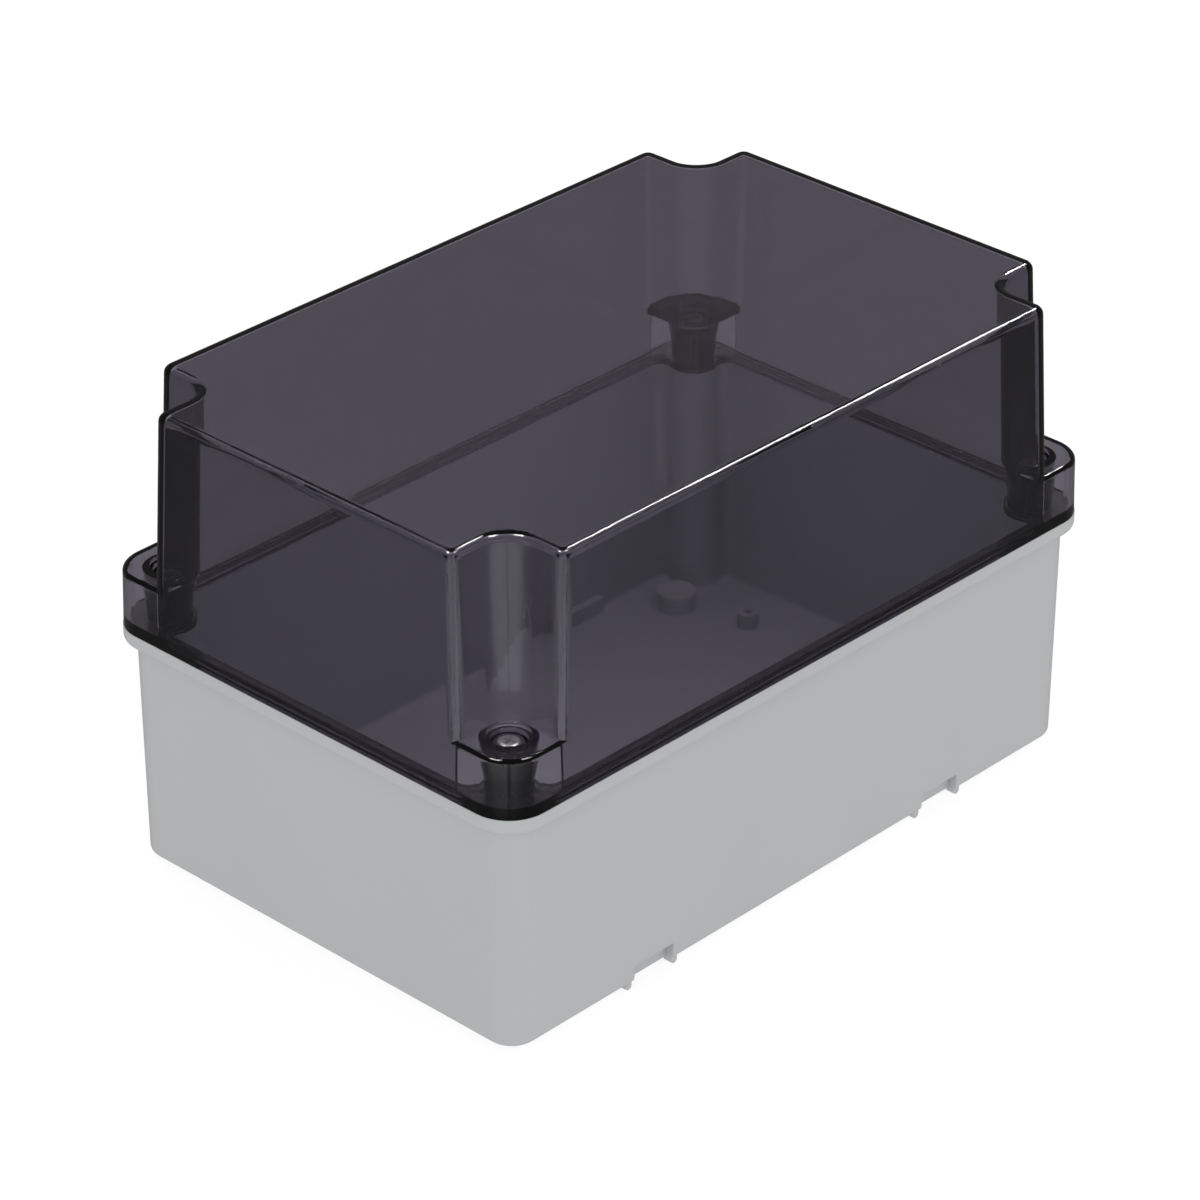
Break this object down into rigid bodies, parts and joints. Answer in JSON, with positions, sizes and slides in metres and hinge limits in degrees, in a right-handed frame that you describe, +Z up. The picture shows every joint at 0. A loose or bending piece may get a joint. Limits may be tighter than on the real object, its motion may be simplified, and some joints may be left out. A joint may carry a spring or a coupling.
{
  "type": "junction box",
  "caption": "Rectangular wall-mounted junction box with a grey moulded base and a deep smoked see-through cover held by captive screws in stepped corner wells.",
  "frame": {"origin": "middle of the footprint, at the level of the standing pads", "axes": "+X along the long side, +Y from the near long side to the far one, +Z up through the cover"},
  "size_m": [0.3, 0.197, 0.1865],
  "materials": {
    "base_grey": "smooth moulded light grey thermoplastic, satin",
    "smoked_clear": "see-through smoked plastic, polished",
    "gasket_rubber": "soft foamed sealing rubber",
    "seal_rubber": "black sealing rubber",
    "screw_steel": "bright plated steel",
    "washer_steel": "plated steel, flat",
    "insert_brass": "turned brass",
    "cap_grey": "soft moulded grey plastic"
  },
  "bodies": {
    "base": {"base_box": "base_grey", "cover_gasket": "gasket_rubber", "threaded_insert_front_left": "insert_brass", "threaded_insert_front_right": "insert_brass", "threaded_insert_back_right": "insert_brass", "threaded_insert_back_left": "insert_brass", "fixing_cap_front_left": "cap_grey", "fixing_cap_front_right": "cap_grey", "fixing_cap_back_right": "cap_grey", "fixing_cap_back_left": "cap_grey"},
    "cover": {"cover": "smoked_clear"},
    "seal_stack_front_left": {"screw_washer_front_left": "washer_steel", "screw_seal_front_left": "seal_rubber"},
    "screw_front_left": {"cover_screw_front_left": "screw_steel"},
    "seal_stack_front_right": {"screw_washer_front_right": "washer_steel", "screw_seal_front_right": "seal_rubber"},
    "screw_front_right": {"cover_screw_front_right": "screw_steel"},
    "seal_stack_back_right": {"screw_washer_back_right": "washer_steel", "screw_seal_back_right": "seal_rubber"},
    "screw_back_right": {"cover_screw_back_right": "screw_steel"},
    "seal_stack_back_left": {"screw_washer_back_left": "washer_steel", "screw_seal_back_left": "seal_rubber"},
    "screw_back_left": {"cover_screw_back_left": "screw_steel"}
  },
  "joints": [
    {"name": "cover_lift", "type": "slide", "parent": "base", "child": "cover", "axis": [0, 0, 1], "range_m": [0, 0.12]},
    {"name": "screw_rise_front_left", "type": "slide", "parent": "cover", "child": "seal_stack_front_left", "axis": [0, 0, 1], "range_m": [0, 0.009]},
    {"name": "screw_turn_front_left", "type": "hinge", "parent": "seal_stack_front_left", "child": "screw_front_left", "pos_m": [-0.133, -0.0815, 0.1132], "axis": [0, 0, 1], "range_deg": [0, 4628.6]},
    {"name": "screw_rise_front_right", "type": "slide", "parent": "cover", "child": "seal_stack_front_right", "axis": [0, 0, 1], "range_m": [0, 0.009]},
    {"name": "screw_turn_front_right", "type": "hinge", "parent": "seal_stack_front_right", "child": "screw_front_right", "pos_m": [0.133, -0.0815, 0.1132], "axis": [0, 0, 1], "range_deg": [0, 4628.6]},
    {"name": "screw_rise_back_right", "type": "slide", "parent": "cover", "child": "seal_stack_back_right", "axis": [0, 0, 1], "range_m": [0, 0.009]},
    {"name": "screw_turn_back_right", "type": "hinge", "parent": "seal_stack_back_right", "child": "screw_back_right", "pos_m": [0.133, 0.0815, 0.1132], "axis": [0, 0, 1], "range_deg": [0, 4628.6]},
    {"name": "screw_rise_back_left", "type": "slide", "parent": "cover", "child": "seal_stack_back_left", "axis": [0, 0, 1], "range_m": [0, 0.009]},
    {"name": "screw_turn_back_left", "type": "hinge", "parent": "seal_stack_back_left", "child": "screw_back_left", "pos_m": [-0.133, 0.0815, 0.1132], "axis": [0, 0, 1], "range_deg": [0, 4628.6]}
  ],
  "couplings": [
    {"joint": "screw_turn_front_left", "follows": "screw_rise_front_left", "rad_per_m": 8976},
    {"joint": "screw_turn_front_right", "follows": "screw_rise_front_right", "rad_per_m": 8976},
    {"joint": "screw_turn_back_right", "follows": "screw_rise_back_right", "rad_per_m": 8976},
    {"joint": "screw_turn_back_left", "follows": "screw_rise_back_left", "rad_per_m": 8976}
  ]
}
